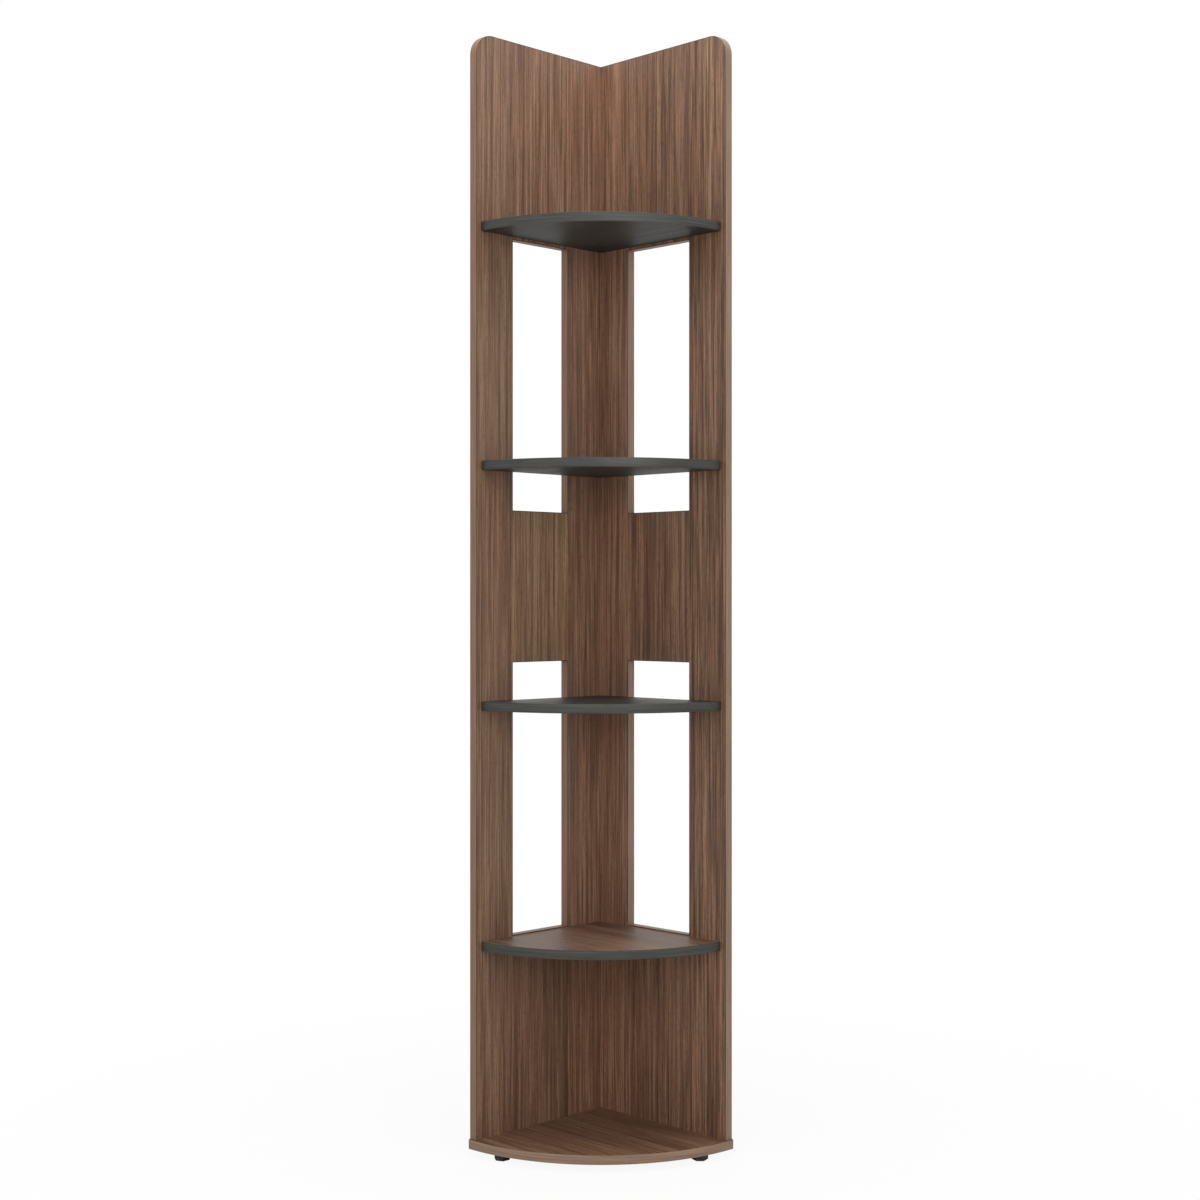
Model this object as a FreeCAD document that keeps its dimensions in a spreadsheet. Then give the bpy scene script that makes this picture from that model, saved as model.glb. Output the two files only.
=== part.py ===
import FreeCAD, Part
import math
import os
import re
import Sketcher

# Corner shelving unit. Two upright wall frames meet at a right angle, four quarter-round
# shelves stand in the corner between them, and the whole stands on a larger
# quarter-round base board with three low hexagonal glides.
#
# Millimetres. +Z is up, and the origin is the middle of the footprint, on the floor.
# The left wall closes the -X side and the right wall the +Y side, so the open quarter
# looks towards +X and -Y. Along a wall, places are counted from the outer back corner.

V = FreeCAD.Vector

sizes = {
    # the two wall frames, flush boards with bands on every edge that shows
    "board_thickness": 15.0,
    "band_thickness": 1.0,
    "wall_width": 300.0,
    "stile_width": 80.0,
    "top_corner_radius": 35.0,
    # a wall's boards and windows between its stiles, from the foot up
    "lower_board_height": 322.0,
    "lower_window_height": 448.0,
    "middle_board_height": 250.0,
    "upper_window_height": 445.0,
    "top_board_height": 325.0,
    # quarter-round shelves, each placed from the nearest edge of a wall's board: the
    # drops and the upper lift are to a shelf's top, the top lift to its underside
    "bottom_shelf_drop": 2.0,
    "lower_shelf_drop": 61.5,
    "upper_shelf_lift": 78.0,
    "top_shelf_lift": 5.0,
    "shelf_setback": 10.0,
    "shelf_end_radius": 4.0,
    # base board
    "base_overhang": 4.5,
    "base_end_radius": 3.0,
    # loose tongues in stopped grooves, which join each wall's boards to its stiles
    "tongue_thickness": 4.0,
    "tongue_width": 24.0,
    "tongue_end_inset": 40.0,
    "tongue_clearance": 0.1,
    "tongue_side_room": 0.5,
    # screws through the boards, each a plain body as wide as its thread
    "screw_length": 50.0,
    "screw_diameter": 7.0,
    "screw_clearance": 0.1,
    "screw_end_room": 1.0,
    "shelf_screw_inset": 45.0,
    "corner_screw_inset": 110.0,
    # glides under the base board: hexagonal pads, each held by a stud in a blind bore
    "glide_across_corners": 27.0,
    "glide_height": 13.0,
    "glide_edge_chamfer": 1.5,
    "glide_front_inset": 25.0,
    "glide_side_inset": 50.0,
    "stud_diameter": 8.0,
    "stud_length": 10.0,
    "stud_clearance": 0.1,
    "stud_end_room": 0.5,
}

SHELVES = ("top", "upper", "lower", "bottom")
CORNER_SCREWS = 3
HEXAGON_SIDES = 6
CUT_TOLERANCE_SHARE = 0.01

# What follows from the sizes above. A rise in a wall is from the base board's top.
formulas = {
    "middle_board_rise": "lower_board_height + lower_window_height",
    "middle_board_top": "middle_board_rise + middle_board_height",
    "top_board_foot": "middle_board_top + upper_window_height",
    "wall_height": "top_board_foot + top_board_height",
    "bottom_shelf_rise": "lower_board_height - bottom_shelf_drop",
    "lower_shelf_rise": "middle_board_rise - lower_shelf_drop",
    "upper_shelf_rise": "middle_board_top + upper_shelf_lift",
    "top_shelf_rise": "top_board_foot + top_shelf_lift + board_thickness",
    "core_width": "wall_width - band_thickness",
    "core_height": "wall_height - band_thickness",
    "inner_corner_radius": "top_corner_radius - band_thickness",
    "outer_stile_start": "wall_width - stile_width + band_thickness",
    "outer_stile_core": "core_width - outer_stile_start",
    "left_board_start": "board_thickness + stile_width - band_thickness",
    "right_board_start": "stile_width - band_thickness",
    "top_core_rise": "top_board_foot + band_thickness",
    "top_core_height": "core_height - top_core_rise",
    "middle_core_rise": "middle_board_rise + band_thickness",
    "middle_core_height": "middle_board_height - 2 * band_thickness",
    "lower_core_height": "lower_board_height - band_thickness",
    "shelf_radius": "wall_width - board_thickness - shelf_setback",
    "base_radius": "wall_width + base_overhang",
    "footprint_half": "base_radius / 2",
    "base_rise": "glide_height",
    "wall_rise": "base_rise + board_thickness",
    "groove_width": "tongue_thickness + 2 * tongue_clearance",
    "groove_depth": "tongue_width / 2 + tongue_side_room",
    "groove_end_inset": "tongue_end_inset - tongue_clearance",
    "screw_hole": "screw_diameter + 2 * screw_clearance",
    "screw_bore_depth": "screw_length - board_thickness + screw_end_room",
    "corner_screw_pitch": f"(wall_height - 2 * corner_screw_inset) / {CORNER_SCREWS - 1}",
    "near_screw": "board_thickness + shelf_screw_inset",
    "far_screw": "wall_width - stile_width / 2",
    "glide_along": "wall_width - glide_front_inset",
    "stud_bore": "stud_diameter + 2 * stud_clearance",
    "stud_bore_depth": "stud_length + stud_end_room",
}

doc = FreeCAD.newDocument("CornerShelvingUnit")
sheet = doc.addObject("Spreadsheet::Sheet", "Sizes")
for row, (alias, number) in enumerate(sizes.items(), start=1):
    sheet.set(f"A{row}", alias)
    sheet.set(f"B{row}", str(number))
    sheet.setAlias(f"B{row}", alias)
for row, (alias, formula) in enumerate(formulas.items(), start=len(sizes) + 1):
    sheet.set(f"A{row}", alias)
    sheet.set(f"B{row}", "=" + formula)
    sheet.setAlias(f"B{row}", alias)
doc.recompute()

NAME = r"[a-z]\w*"
known = set(sizes) | set(formulas)
nodes = []


def value(formula):
    """The number that a formula of sizes gives now."""
    return float(sheet.evalExpression(formula))


def bind(item, place, formula):
    """Ties one property or constraint of an item to a formula of sizes."""
    in_sheet = re.sub(NAME, lambda word: f"Sizes.{word[0]}" if word[0] in known else word[0], formula)
    item.setExpression(place, in_sheet)


def place_at(item, x, y, z):
    """Binds the item's place in the unit."""
    for axis, formula in zip("xyz", (x, y, z)):
        bind(item, f"Placement.Base.{axis}", formula)


def new_body(label):
    body = doc.addObject("PartDesign::Body", label)
    body.Label = label
    nodes.append(body)
    return body


def new_sketch(body, plane, offset="0"):
    """A sketch on one of the body's own origin planes, or parallel to it."""
    sketch = body.newObject("Sketcher::SketchObject", "outline")
    support = next(item for item in body.Origin.OriginFeatures if item.Role == plane)
    sketch.AttachmentSupport = (support, [""])
    sketch.MapMode = "FlatFace"
    if offset != "0":
        bind(sketch, "AttachmentOffset.Base.z", offset)
    return sketch


def pin_point(sketch, geometry, point, x, y):
    """Holds a point of the sketch at x and y, both given as formulas."""
    for kind, formula, axis in (("DistanceX", x, -2), ("DistanceY", y, -1)):
        if formula == "0":
            sketch.addConstraint(Sketcher.Constraint("PointOnObject", geometry, point, axis))
        else:
            rule = Sketcher.Constraint(kind, -1, 1, geometry, point, value(formula))
            bind(sketch, f"Constraints[{sketch.addConstraint(rule)}]", formula)


def set_size(sketch, kind, geometry, formula):
    """Holds a radius or diameter at a formula."""
    rule = Sketcher.Constraint(kind, geometry, value(formula))
    bind(sketch, f"Constraints[{sketch.addConstraint(rule)}]", formula)


def polygon(sketch, corners):
    """A closed outline of straight lines, each corner held by its own two sizes."""
    points = [V(value(x), value(y), 0) for x, y in corners]
    count = len(points)
    for index in range(count):
        sketch.addGeometry(Part.LineSegment(points[index], points[(index + 1) % count]))
    for index, (x, y) in enumerate(corners):
        sketch.addConstraint(Sketcher.Constraint("Coincident", (index - 1) % count, 2, index, 1))
        pin_point(sketch, index, 1, x, y)


def circles(sketch, centres, diameter):
    for x, y in centres:
        circle = Part.Circle(V(value(x), value(y), 0), V(0, 0, 1), value(diameter) / 2)
        geometry = sketch.addGeometry(circle)
        pin_point(sketch, geometry, 3, x, y)
        set_size(sketch, "Diameter", geometry, diameter)


def hexagon(sketch, across_corners):
    """A regular hexagon round the sketch's origin, with its first corner on the X axis."""
    reach = value(across_corners) / 2
    ring = sketch.addGeometry(Part.Circle(V(0, 0, 0), V(0, 0, 1), reach), True)
    sketch.addConstraint(Sketcher.Constraint("Coincident", ring, 3, -1, 1))
    set_size(sketch, "Diameter", ring, across_corners)
    turns = [index * math.tau / HEXAGON_SIDES for index in range(HEXAGON_SIDES + 1)]
    points = [V(reach * math.cos(turn), reach * math.sin(turn), 0) for turn in turns]
    sides = [sketch.addGeometry(Part.LineSegment(start, end)) for start, end in zip(points, points[1:])]
    for side, previous in zip(sides, sides[-1:] + sides):
        sketch.addConstraint(Sketcher.Constraint("Coincident", previous, 2, side, 1))
        sketch.addConstraint(Sketcher.Constraint("PointOnObject", side, 1, ring))
    for side in sides[1:]:
        sketch.addConstraint(Sketcher.Constraint("Equal", sides[0], side))
    sketch.addConstraint(Sketcher.Constraint("PointOnObject", sides[0], 1, -1))


def pad(body, sketch, length):
    feature = body.newObject("PartDesign::Pad", "pad")
    feature.Profile = sketch
    bind(feature, "Length", length)
    doc.recompute()
    return feature


def round_corner(body, x, y, z, radius):
    """Rounds the straight edge whose middle is at x, y and z in the body."""
    middle = V(value(x), value(y), value(z))
    base = body.Tip
    edges = base.Shape.Edges
    nearest = min(range(len(edges)), key=lambda index: edges[index].CenterOfMass.distanceToPoint(middle))
    feature = body.newObject("PartDesign::Fillet", "round")
    feature.Base = (base, [f"Edge{nearest + 1}"])
    bind(feature, "Radius", radius)
    doc.recompute()


def cut(body, sketch, depth, forward, area):
    """Cuts a sketch into its body, along the sketch's normal where forward is true."""
    before = body.Shape.Volume
    feature = body.newObject("PartDesign::Pocket", "cut")
    feature.Profile = sketch
    feature.Reversed = forward
    bind(feature, "Length", depth)
    doc.recompute()
    removed = before - body.Shape.Volume
    expected = area * value(depth)
    if abs(removed - expected) > expected * CUT_TOLERANCE_SHARE:
        raise SystemExit(f"{body.Label}: a cut removed {removed:.0f} mm3, not {expected:.0f}")


def bores(body, plane, offset, centres, diameter, depth, forward):
    """Round bores of one diameter and depth, side by side in one plane."""
    sketch = new_sketch(body, plane, offset)
    circles(sketch, centres, diameter)
    cut(body, sketch, depth, forward, len(centres) * math.pi * value(diameter) ** 2 / 4)


def group_as(label, pieces):
    """Joins placed primitives of one kind into one node of separate solids."""
    group = doc.addObject("Part::Compound", label)
    group.Label = label
    group.Links = pieces
    nodes.append(group)


class Wall:
    """One wall's directions: which way it runs from the back corner, and its planes."""

    def __init__(self, name, sign, face_plane, edge_plane, board_start, stile_start):
        self.name = name
        self.sign = sign
        self.face_plane = face_plane
        self.edge_plane = edge_plane
        self.board_start = board_start
        self.stile_start = stile_start

    def along(self, formula):
        """A place along the wall, as its face sketches count it."""
        return formula if formula == "0" or self.sign > 0 else f"-({formula})"

    def across(self, formula):
        """A place through the wall's thickness, as its edge sketches count it."""
        return f"-({formula})" if self.sign > 0 else formula

    def turned(self, run, through):
        """A place along the wall and one through it, in the body's own x and y order."""
        return (run, through) if self.sign > 0 else (through, run)

    def put(self, item, start, rise):
        """Places a piece whose own corner is at a start along the wall and a rise above its foot."""
        x = f"-footprint_half + {start}" if self.sign > 0 else "-footprint_half"
        y = "footprint_half" if self.sign > 0 else f"footprint_half - ({start})"
        place_at(item, x, y, f"wall_rise + {rise}")


# The left inner stile butts against the inner face of the right one, so the left wall's
# boards start one board's thickness further from the corner.
LEFT = Wall("left", -1, "YZ_Plane", "XZ_Plane", "left_board_start", "board_thickness")
RIGHT = Wall("right", 1, "XZ_Plane", "YZ_Plane", "right_board_start", "0")

# The three boards of a wall, each with the rise and height of its bare core.
BOARDS = {
    "top": ("top_core_rise", "top_core_height"),
    "middle": ("middle_core_rise", "middle_core_height"),
    "lower": ("0", "lower_core_height"),
}


SHELF_SCREW_RISES = [f"{shelf}_shelf_rise - board_thickness / 2" for shelf in SHELVES]
CORNER_SCREW_RISES = [f"corner_screw_inset + {index} * corner_screw_pitch" for index in range(CORNER_SCREWS)]


def blank(wall, label, start, rise, width, height):
    """A plain board of a wall, standing in its place."""
    body = new_body(label)
    sketch = new_sketch(body, wall.face_plane)
    polygon(sketch, [("0", "0"), (wall.along(width), "0"), (wall.along(width), height), ("0", height)])
    pad(body, sketch, "board_thickness")
    wall.put(body, start, rise)
    return body


def grooves(wall, body, edge, spans, forward):
    """Stopped grooves for tongues, in the middle of an edge, one for each foot and head given."""
    low = "board_thickness / 2 - groove_width / 2"
    high = "board_thickness / 2 + groove_width / 2"
    for foot, head in spans:
        sketch = new_sketch(body, wall.edge_plane, edge)
        start = f"{foot} + groove_end_inset"
        end = f"{head} - groove_end_inset"
        polygon(sketch, [(wall.across(low), start), (wall.across(high), start),
                         (wall.across(high), end), (wall.across(low), end)])
        cut(body, sketch, "groove_depth", forward, value(f"groove_width * ({end} - ({start}))"))


def board_spans():
    """The foot and head of each board of a wall, above the wall's foot."""
    return [(rise, f"{rise} + {height}") for rise, height in BOARDS.values()]


def foot_bore(wall, body, screw_place):
    """The bore in a stile's lower end for the screw that comes up through the base."""
    x, y = wall.turned(wall.along(screw_place), wall.across("board_thickness / 2"))
    bores(body, "XY_Plane", "0", [(x, y)], "screw_hole", "screw_bore_depth", True)


def inner_stile(wall):
    """The stile at the back corner. The right one runs through, the left one butts on it."""
    width = f"{wall.board_start} - {wall.stile_start}"
    screw_place = f"near_screw - {wall.stile_start}"
    body = blank(wall, f"{wall.name}_inner_stile", wall.stile_start, "0", width, "core_height")
    grooves(wall, body, width, board_spans(), False)
    if wall is RIGHT:
        foot_bore(wall, body, screw_place)
        holes = [(screw_place, rise) for rise in SHELF_SCREW_RISES]
        holes += [("board_thickness / 2", rise) for rise in CORNER_SCREW_RISES]
        bores(body, wall.face_plane, "0", holes, "screw_hole", "board_thickness", True)
    else:
        centres = [(wall.across("board_thickness / 2"), rise) for rise in CORNER_SCREW_RISES]
        bores(body, wall.edge_plane, "0", centres, "screw_hole", "screw_bore_depth", True)


def outer_stile(wall):
    """The stile at the front, with the large round at its top corner."""
    label = f"{wall.name}_outer_stile"
    screw_place = "far_screw - outer_stile_start"
    body = blank(wall, label, "outer_stile_start", "0", "outer_stile_core", "core_height")
    x, y = wall.turned(wall.along("outer_stile_core"), wall.across("board_thickness / 2"))
    round_corner(body, x, y, "core_height", "inner_corner_radius")
    grooves(wall, body, "0", board_spans(), True)
    foot_bore(wall, body, screw_place)
    holes = [(wall.along(screw_place), rise) for rise in SHELF_SCREW_RISES]
    bores(body, wall.face_plane, "0", holes, "screw_hole", "board_thickness", True)


def infill_board(wall, board):
    """A board between the stiles, flush with them on both faces."""
    rise, height = BOARDS[board]
    width = f"outer_stile_start - {wall.board_start}"
    body = blank(wall, f"{wall.name}_{board}_board", wall.board_start, rise, width, height)
    grooves(wall, body, "0", [("0", height)], True)
    grooves(wall, body, width, [("0", height)], False)


def rim_band(wall):
    """One strip up the front edge, round the top corner and back to the back corner."""
    body = new_body(f"{wall.name}_rim_band")
    sketch = new_sketch(body, wall.face_plane)
    width = f"wall_width - {wall.stile_start}"
    core = f"core_width - {wall.stile_start}"
    outline = [
        (core, "0"),
        (width, "0"),
        (width, "wall_height"),
        ("0", "wall_height"),
        ("0", "core_height"),
        (core, "core_height"),
    ]
    polygon(sketch, [(wall.along(x) if x != "0" else x, y) for x, y in outline])
    pad(body, sketch, "board_thickness")
    for reach, top, radius in (
        (width, "wall_height", "top_corner_radius"),
        (core, "core_height", "inner_corner_radius"),
    ):
        x, y = wall.turned(wall.along(reach), wall.across("board_thickness / 2"))
        round_corner(body, x, y, top, radius)
    wall.put(body, wall.stile_start, "0")


def wall_box(wall, label, run, thickness, height, start, depth, rise):
    """A plain strip in a wall: its size, and its start along, depth into and rise up the wall."""
    box = doc.addObject("Part::Box", f"{wall.name}_{label}")
    along, through = ("Length", "Width") if wall is RIGHT else ("Width", "Length")
    bind(box, along, run)
    bind(box, through, thickness)
    bind(box, "Height", height)
    if wall is RIGHT:
        x = f"-footprint_half + {start}"
        y = f"footprint_half - ({depth}) - ({thickness})"
    else:
        x = f"-footprint_half + {depth}"
        y = f"footprint_half - ({start}) - ({run})"
    place_at(box, x, y, f"wall_rise + {rise}")
    return box


def window_bands(wall, window, sill, head):
    """Four strips that line one window: two full-height sides, and a sill and a head between them."""
    side_height = f"{head} - ({sill})"
    between = f"outer_stile_start - {wall.board_start} - 2 * band_thickness"
    near = f"{wall.board_start} + band_thickness"
    far = "outer_stile_start - band_thickness"
    strips = (
        ("band_thickness", side_height, wall.board_start, sill),
        ("band_thickness", side_height, far, sill),
        (between, "band_thickness", near, sill),
        (between, "band_thickness", near, f"{head} - band_thickness"),
    )
    boxes = [
        wall_box(wall, f"{window}_strip", run, "board_thickness", height, start, "0", rise)
        for run, height, start, rise in strips
    ]
    group_as(f"{wall.name}_{window}_window_band", boxes)


def wall_tongues(wall):
    """The loose tongues of one wall, each half in a stile and half in a board."""
    tongues = []
    for seam in (wall.board_start, "outer_stile_start"):
        for foot, head in board_spans():
            start = f"{seam} - tongue_width / 2"
            through = "board_thickness / 2 - tongue_thickness / 2"
            rise = f"{foot} + tongue_end_inset"
            height = f"{head} - tongue_end_inset - ({rise})"
            tongues.append(wall_box(wall, "tongue", "tongue_width", "tongue_thickness", height,
                                    start, through, rise))
    group_as(f"{wall.name}_wall_tongues", tongues)


def sector_arcs(sketch, radius, end_radius, inset):
    """The rounded side of a quarter-round board: an end arc, the front arc, an end arc.

    The sketch's +X and -Y axes are the board's straight edges. The arcs lie an inset
    inside the finished side, and the three arcs run on into each other.
    """
    full = value(radius)
    corner = value(end_radius)
    step = value(inset)
    reach = math.sqrt((full - corner) ** 2 - corner**2)
    tilt = math.asin(corner / (full - corner))
    quarter = math.pi / 2
    up = V(0, 0, 1)
    first = sketch.addGeometry(
        Part.ArcOfCircle(Part.Circle(V(reach, -corner, 0), up, corner - step), -tilt, quarter))
    front = sketch.addGeometry(
        Part.ArcOfCircle(Part.Circle(V(0, 0, 0), up, full - step), tilt - quarter, -tilt))
    last = sketch.addGeometry(
        Part.ArcOfCircle(Part.Circle(V(corner, -reach, 0), up, corner - step),
                         2 * quarter, 3 * quarter + tilt))
    sketch.addConstraint(Sketcher.Constraint("Coincident", front, 3, -1, 1))
    sketch.addConstraint(Sketcher.Constraint("Tangent", first, 1, front, 2))
    sketch.addConstraint(Sketcher.Constraint("Tangent", front, 1, last, 2))
    set_size(sketch, "Radius", front, f"{radius} - {inset}")
    set_size(sketch, "Radius", first, f"{end_radius} - {inset}")
    set_size(sketch, "Radius", last, f"{end_radius} - {inset}")
    return first, front, last


def end_step(sketch, axis, start, end, kind):
    """A short line from a straight edge in to the core's end arc, one band thick."""
    line = sketch.addGeometry(Part.LineSegment(start, end))
    sketch.addConstraint(Sketcher.Constraint("PointOnObject", line, 1, axis))
    sketch.addConstraint(Sketcher.Constraint(kind, line))
    return line


def sector_core(label, radius, end_radius, plane_rise):
    """A quarter-round board without its band, with its square corner at the body's origin."""
    body = new_body(label)
    sketch = new_sketch(body, "XY_Plane")
    first, _, last = sector_arcs(sketch, radius, end_radius, "band_thickness")
    ends = sector_steps(sketch, first, last, end_radius)
    corner = V(0, 0, 0)
    for axis, step in zip((-1, -2), ends):
        edge = sketch.addGeometry(Part.LineSegment(corner, sketch.Geometry[step].StartPoint))
        sketch.addConstraint(Sketcher.Constraint("Coincident", edge, 1, -1, 1))
        sketch.addConstraint(Sketcher.Constraint("Coincident", edge, 2, step, 1))
    pad(body, sketch, "board_thickness")
    place_at(body, *plane_rise)
    return body


def sector_steps(sketch, first, last, end_radius):
    """The two short lines where a band ends, square to the straight edges."""
    start = sketch.Geometry[first].EndPoint
    finish = sketch.Geometry[last].StartPoint
    one = end_step(sketch, -1, V(start.x, 0, 0), start, "Vertical")
    two = end_step(sketch, -2, V(0, finish.y, 0), finish, "Horizontal")
    for step, arc, point in ((one, first, 2), (two, last, 1)):
        sketch.addConstraint(Sketcher.Constraint("Coincident", step, 2, arc, point))
        sketch.addConstraint(Sketcher.Constraint("PointOnObject", arc, 3, step))
        rule = Sketcher.Constraint("Distance", step, value("band_thickness"))
        bind(sketch, f"Constraints[{sketch.addConstraint(rule)}]", "band_thickness")
    return one, two


def sector_band(label, radius, end_radius, plane_rise):
    """The strip round a quarter-round board's front, turned in at both ends."""
    body = new_body(label)
    sketch = new_sketch(body, "XY_Plane")
    first, _, last = sector_arcs(sketch, radius, end_radius, "band_thickness")
    ends = sector_steps(sketch, first, last, end_radius)
    outer_first, _, outer_last = sector_arcs(sketch, radius, end_radius, "0")
    sketch.addConstraint(Sketcher.Constraint("Coincident", outer_first, 2, ends[0], 1))
    sketch.addConstraint(Sketcher.Constraint("Coincident", outer_last, 1, ends[1], 1))
    pad(body, sketch, "board_thickness")
    place_at(body, *plane_rise)
    return body


def shelf(name):
    """A shelf in the corner, with bores in its two straight edges for three screws."""
    place = (
        "-footprint_half + board_thickness",
        "footprint_half - board_thickness",
        f"wall_rise + {name}_shelf_rise - board_thickness",
    )
    body = sector_core(f"{name}_shelf", "shelf_radius", "shelf_end_radius", place)
    middle = "board_thickness / 2"
    near = "near_screw - board_thickness"
    far = "far_screw - board_thickness"
    right = [(near, middle), (far, middle)]
    left = [(f"-({far})", middle)]
    bores(body, "XZ_Plane", "0", right, "screw_hole", "screw_bore_depth", True)
    bores(body, "YZ_Plane", "0", left, "screw_hole", "screw_bore_depth", True)
    sector_band(f"{name}_shelf_band", "shelf_radius", "shelf_end_radius", place)


# The ways that the screws are driven. The glides are turned about the last.
INTO_RIGHT_WALL = V(0, -1, 0)
INTO_LEFT_WALL = V(1, 0, 0)
UPWARDS = V(0, 0, 1)

# Where the base screws and the glides stand, from the outer back corner.
BASE_SCREWS = (
    ("near_screw", "-board_thickness / 2"),
    ("far_screw", "-board_thickness / 2"),
    ("board_thickness / 2", "-far_screw"),
)
GLIDES = (
    ("glide_along", "-glide_side_inset"),
    ("glide_side_inset", "-glide_along"),
    ("glide_side_inset", "-glide_side_inset"),
)
# Each glide was screwed home on its own, so its corners lie its own way: degrees from +X.
GLIDE_TURNS = (-15, 25, 0)


def base():
    """The base board, bored through for the screws that hold the walls, and blind for the glides."""
    place = ("-footprint_half", "footprint_half", "base_rise")
    body = sector_core("base_board", "base_radius", "base_end_radius", place)
    bores(body, "XY_Plane", "0", BASE_SCREWS, "screw_hole", "board_thickness", True)
    bores(body, "XY_Plane", "0", GLIDES, "stud_bore", "stud_bore_depth", True)
    sector_band("base_band", "base_radius", "base_end_radius", place)


def glide(x, y, turn):
    """A moulded glide: a hexagonal pad, eased at the floor, and the stud that holds it."""
    body = doc.addObject("PartDesign::Body", "glide")
    outline = new_sketch(body, "XY_Plane")
    hexagon(outline, "glide_across_corners")
    foot = pad(body, outline, "glide_height")
    edges = foot.Shape.Edges
    upwards = sorted(range(len(edges)), key=lambda number: edges[number].CenterOfMass.z)
    eased = body.newObject("PartDesign::Chamfer", "eased")
    eased.Base = (foot, [f"Edge{number + 1}" for number in upwards[:HEXAGON_SIDES]])
    bind(eased, "Size", "glide_edge_chamfer")
    doc.recompute()
    ring = new_sketch(body, "XY_Plane", "glide_height")
    circles(ring, [("0", "0")], "stud_diameter")
    pad(body, ring, "stud_length")
    body.Placement.Rotation = FreeCAD.Rotation(UPWARDS, turn)
    place_at(body, f"-footprint_half + {x}", f"footprint_half + {y}", "0")
    return body


def screw(x, y, z, direction):
    """One screw, its head's flat face at the place given, pointing the way it is driven."""
    body = doc.addObject("Part::Cylinder", "screw")
    bind(body, "Radius", "screw_diameter / 2")
    bind(body, "Height", "screw_length")
    body.Placement.Rotation = FreeCAD.Rotation(UPWARDS, direction)
    place_at(body, x, y, z)
    return body


def all_screws():
    """Every screw: through the stiles into the shelves, at the corner, and up through the base."""
    near = ("-footprint_half + near_screw", "footprint_half", INTO_RIGHT_WALL)
    far = ("-footprint_half + far_screw", "footprint_half", INTO_RIGHT_WALL)
    left = ("-footprint_half", "footprint_half - far_screw", INTO_LEFT_WALL)
    group_as("shelf_screws", [
        screw(x, y, f"wall_rise + {rise}", direction)
        for rise in SHELF_SCREW_RISES
        for x, y, direction in (near, far, left)
    ])
    corner = "-footprint_half + board_thickness / 2"
    group_as("corner_screws", [
        screw(corner, "footprint_half", f"wall_rise + {rise}", INTO_RIGHT_WALL)
        for rise in CORNER_SCREW_RISES
    ])
    group_as("base_screws", [
        screw(f"-footprint_half + {x}", f"footprint_half + {y}", "base_rise", UPWARDS)
        for x, y in BASE_SCREWS
    ])


WINDOWS = {
    "upper": ("middle_board_top - band_thickness", "top_core_rise"),
    "lower": ("lower_core_height", "middle_core_rise"),
}

for side in (LEFT, RIGHT):
    inner_stile(side)
    outer_stile(side)
    for infill in BOARDS:
        infill_board(side, infill)
    rim_band(side)
    for opening, (low, high) in WINDOWS.items():
        window_bands(side, opening, low, high)
    wall_tongues(side)
for name in SHELVES:
    shelf(name)
base()
group_as("glides", [glide(x, y, turn) for (x, y), turn in zip(GLIDES, GLIDE_TURNS)])
all_screws()
doc.recompute()

for item in doc.Objects:
    if "Invalid" in item.State or "Error" in item.State:
        raise SystemExit(f"{item.Label} did not rebuild: {item.State}")
for node in nodes:
    if node.Shape.isNull() or not node.Shape.isValid() or not node.Shape.Solids:
        raise SystemExit(f"{node.Label} has no valid solid")

os.makedirs("parts", exist_ok=True)
for node in nodes:
    node.Shape.exportStep(f"parts/{node.Label}.step")
    print(f"{node.Label}: {len(node.Shape.Solids)} solids, {node.Shape.Volume / 1000:.1f} cm3")
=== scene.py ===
import math

import bmesh
import bpy
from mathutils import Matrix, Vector


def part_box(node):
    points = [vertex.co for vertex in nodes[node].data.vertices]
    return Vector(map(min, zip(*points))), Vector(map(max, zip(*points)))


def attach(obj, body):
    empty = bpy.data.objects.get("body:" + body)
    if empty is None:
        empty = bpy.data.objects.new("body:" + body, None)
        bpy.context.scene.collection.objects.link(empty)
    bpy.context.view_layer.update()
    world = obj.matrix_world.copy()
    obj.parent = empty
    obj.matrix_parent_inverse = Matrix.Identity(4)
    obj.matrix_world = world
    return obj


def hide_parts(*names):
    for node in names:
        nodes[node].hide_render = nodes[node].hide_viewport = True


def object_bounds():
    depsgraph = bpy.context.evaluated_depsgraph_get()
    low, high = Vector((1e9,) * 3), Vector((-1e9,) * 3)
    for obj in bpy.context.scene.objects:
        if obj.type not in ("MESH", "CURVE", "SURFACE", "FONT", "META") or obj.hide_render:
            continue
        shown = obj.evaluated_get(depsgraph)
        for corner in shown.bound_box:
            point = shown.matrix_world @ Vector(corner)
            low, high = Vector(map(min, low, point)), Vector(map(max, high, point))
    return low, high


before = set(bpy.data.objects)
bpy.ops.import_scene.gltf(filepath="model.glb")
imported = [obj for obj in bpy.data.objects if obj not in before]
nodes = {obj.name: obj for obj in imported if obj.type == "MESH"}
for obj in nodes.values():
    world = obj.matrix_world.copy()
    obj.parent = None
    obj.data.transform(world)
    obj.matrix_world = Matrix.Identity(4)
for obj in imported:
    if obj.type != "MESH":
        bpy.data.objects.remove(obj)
cad_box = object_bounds()

# Base board: a quarter-round of melamine-faced chipboard, 15 mm thick, that the walls stand on.
# Its face is a walnut print under clear resin, pressed on a textured plate: satin, never glossy,
# with straight brown streaks. Its two back edges face the room's walls and are left bare.
MM = 0.001


def linear(code):
    """An sRGB hex colour as the linear colour that a socket takes."""
    shares = [int(code[place:place + 2], 16) / 255 for place in (0, 2, 4)]
    toned = [s / 12.92 if s <= 0.04045 else ((s + 0.055) / 1.055) ** 2.4 for s in shares]
    return (*toned, 1.0)


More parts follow.
